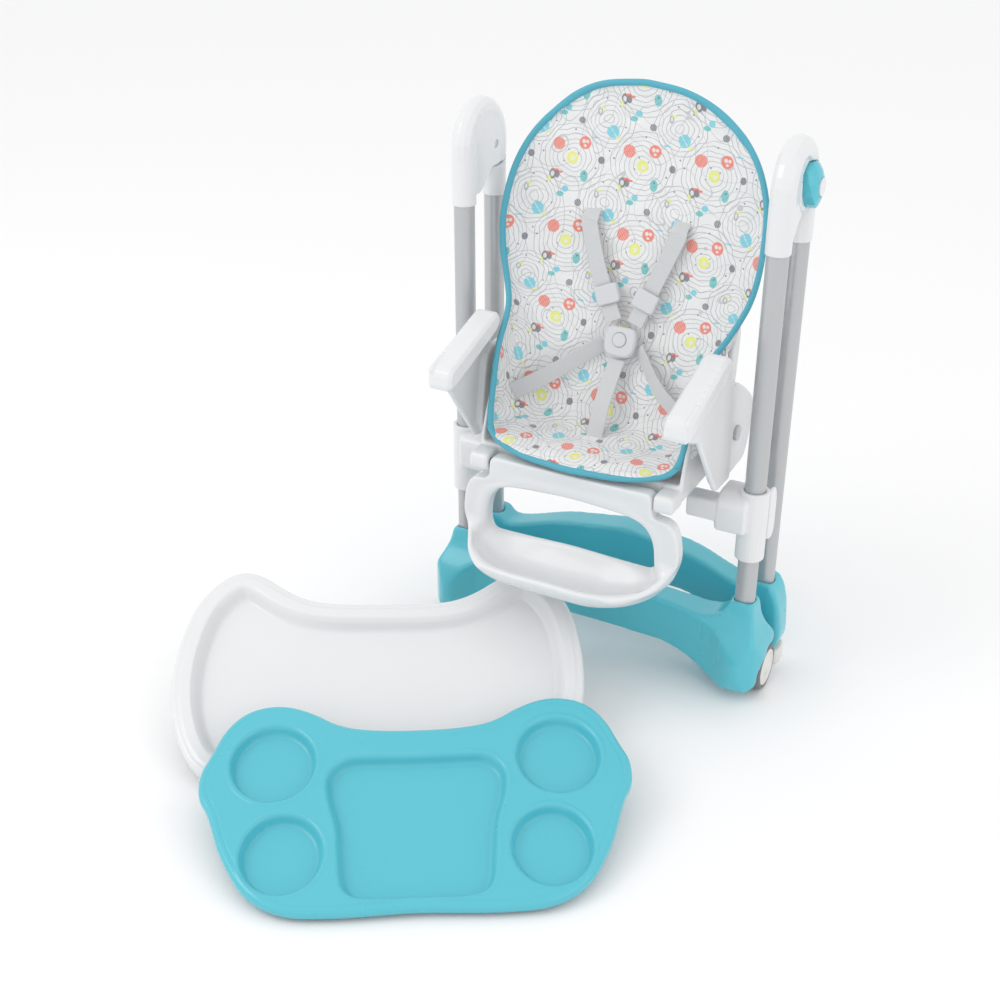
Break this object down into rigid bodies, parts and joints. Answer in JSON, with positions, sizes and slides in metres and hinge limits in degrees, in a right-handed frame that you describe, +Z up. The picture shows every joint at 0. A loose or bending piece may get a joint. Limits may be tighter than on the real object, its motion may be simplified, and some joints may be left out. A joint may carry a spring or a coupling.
{
  "type": "baby high chair",
  "caption": "Folding baby high chair, shown closed: tube legs on two base beams, padded seat with harness, footrest, and a tray with a cup insert lying in front.",
  "frame": {"origin": "on the floor, under the middle of the bounding box of the chair with its two trays", "axes": "+Z up, +Y from the front of the chair to its back, +X to the right of someone who faces the chair"},
  "size_m": [0.8012, 0.9316, 0.9039],
  "materials": {
    "white_plastic": "smooth gloss",
    "teal_plastic": "smooth gloss",
    "tube_metal": "satin silver-grey paint",
    "pin_steel": "satin",
    "tyre_grey": "matt",
    "pale_plastic": "fine matt",
    "printed_fabric": "printed woven cover",
    "webbing": "woven webbing",
    "buckle_plastic": "fine matt"
  },
  "bodies": {
    "front_frame": {"front_tube_left": "tube_metal", "front_tube_right": "tube_metal", "front_housing_left": "white_plastic", "front_housing_right": "white_plastic", "fold_pin_left": "pin_steel", "fold_pin_right": "pin_steel", "front_base": "teal_plastic", "wheel_axle_left": "pin_steel", "wheel_axle_right": "pin_steel"},
    "rear_frame": {"rear_tube_left": "tube_metal", "rear_tube_right": "tube_metal", "rear_hub_left": "white_plastic", "rear_hub_right": "white_plastic", "rear_base": "teal_plastic", "rear_foot_pad_left": "pale_plastic", "rear_foot_pad_right": "pale_plastic", "fold_spring_left": "pin_steel", "fold_spring_right": "pin_steel"},
    "fold_button_left": {"fold_button_left": "teal_plastic", "fold_button_inlay_left": "white_plastic"},
    "fold_button_right": {"fold_button_right": "teal_plastic", "fold_button_inlay_right": "white_plastic"},
    "wheel_left": {"tyre_left": "tyre_grey", "wheel_hub_left": "pale_plastic"},
    "wheel_right": {"tyre_right": "tyre_grey", "wheel_hub_right": "pale_plastic"},
    "seat": {"height_slider_left": "white_plastic", "height_slider_right": "white_plastic", "seat_shell": "white_plastic", "armrest_left": "white_plastic", "armrest_right": "white_plastic", "recline_pin_left": "pin_steel", "recline_pin_right": "pin_steel", "seat_pad": "printed_fabric", "waist_strap_left": "webbing", "waist_strap_right": "webbing", "crotch_strap": "webbing", "buckle_body": "buckle_plastic", "footrest_pin_left": "pin_steel", "footrest_pin_right": "pin_steel"},
    "height_lever_left": {"height_lever_left": "white_plastic"},
    "height_lever_right": {"height_lever_right": "white_plastic"},
    "buckle_button": {"buckle_button": "buckle_plastic"},
    "backrest": {"back_shell": "white_plastic", "back_pad": "printed_fabric", "shoulder_strap_left": "webbing", "shoulder_strap_right": "webbing", "strap_adjuster_left": "buckle_plastic", "strap_adjuster_right": "buckle_plastic"},
    "recline_handle": {"recline_handle": "white_plastic"},
    "footrest": {"footrest": "white_plastic"},
    "serving_tray": {"serving_tray": "white_plastic"},
    "tray_latch_left": {"tray_latch_left": "white_plastic"},
    "tray_latch_right": {"tray_latch_right": "white_plastic"},
    "insert_tray": {"insert_tray": "teal_plastic"}
  },
  "joints": [
    {"name": "frame_fold", "type": "hinge", "parent": "front_frame", "child": "rear_frame", "pos_m": [0.10639, 0.38925, 0.792], "axis": [1, 0, 0], "range_deg": [0, 36]},
    {"name": "wheel_left_spin", "type": "hinge", "parent": "front_frame", "child": "wheel_left", "pos_m": [-0.17261, 0.32525, 0.0375], "axis": [1, 0, 0], "continuous": true},
    {"name": "wheel_right_spin", "type": "hinge", "parent": "front_frame", "child": "wheel_right", "pos_m": [0.38539, 0.32525, 0.0375], "axis": [1, 0, 0], "continuous": true},
    {"name": "fold_button_left_press", "type": "slide", "parent": "rear_frame", "child": "fold_button_left", "axis": [1, 0, 0], "range_m": [0, 0.004], "stiffness_N_per_m": 1500, "springref_m": -0.002},
    {"name": "fold_button_right_press", "type": "slide", "parent": "rear_frame", "child": "fold_button_right", "axis": [-1, 0, 0], "range_m": [0, 0.004], "stiffness_N_per_m": 1500, "springref_m": -0.002},
    {"name": "seat_height", "type": "slide", "parent": "front_frame", "child": "seat", "axis": [0, 0, 1], "range_m": [0, 0.33]},
    {"name": "height_lever_left_squeeze", "type": "hinge", "parent": "seat", "child": "height_lever_left", "pos_m": [-0.15061, 0.33525, 0.334], "axis": [1, 0, 0], "range_deg": [0, 7], "stiffness_Nm_per_rad": 1, "springref_deg": -5.73},
    {"name": "height_lever_right_squeeze", "type": "hinge", "parent": "seat", "child": "height_lever_right", "pos_m": [0.36339, 0.33525, 0.334], "axis": [1, 0, 0], "range_deg": [0, 7], "stiffness_Nm_per_rad": 1, "springref_deg": -5.73},
    {"name": "buckle_button_press", "type": "slide", "parent": "seat", "child": "buckle_button", "axis": [0, 0.9397, -0.342], "range_m": [0, 0.0025], "stiffness_N_per_m": 1500, "springref_m": -0.002},
    {"name": "back_recline", "type": "hinge", "parent": "seat", "child": "backrest", "pos_m": [0.10639, 0.35125, 0.418], "axis": [-1, 0, 0], "range_deg": [0, 35]},
    {"name": "recline_handle_squeeze", "type": "hinge", "parent": "backrest", "child": "recline_handle", "pos_m": [0.10639, 0.45466, 0.72021], "axis": [1, 0, 0], "range_deg": [0, 18], "stiffness_Nm_per_rad": 1, "springref_deg": -5.73},
    {"name": "footrest_fold", "type": "hinge", "parent": "seat", "child": "footrest", "pos_m": [0.10639, 0.19725, 0.358], "axis": [-1, 0, 0], "range_deg": [0, 60]},
    {"name": "tray_lift_off", "type": "slide", "parent": "front_frame", "child": "serving_tray", "axis": [0.4787, -0.878, 0], "range_m": [0, 0.25]},
    {"name": "tray_latch_left_squeeze", "type": "slide", "parent": "serving_tray", "child": "tray_latch_left", "axis": [0.878, 0.4787, 0], "range_m": [0, 0.008], "stiffness_N_per_m": 600, "springref_m": -0.003},
    {"name": "tray_latch_right_squeeze", "type": "slide", "parent": "serving_tray", "child": "tray_latch_right", "axis": [-0.878, -0.4787, 0], "range_m": [0, 0.008], "stiffness_N_per_m": 600, "springref_m": -0.003},
    {"name": "insert_lift_out", "type": "slide", "parent": "serving_tray", "child": "insert_tray", "axis": [0.1257, -0.2067, 0.9703], "range_m": [0, 0.15]}
  ]
}
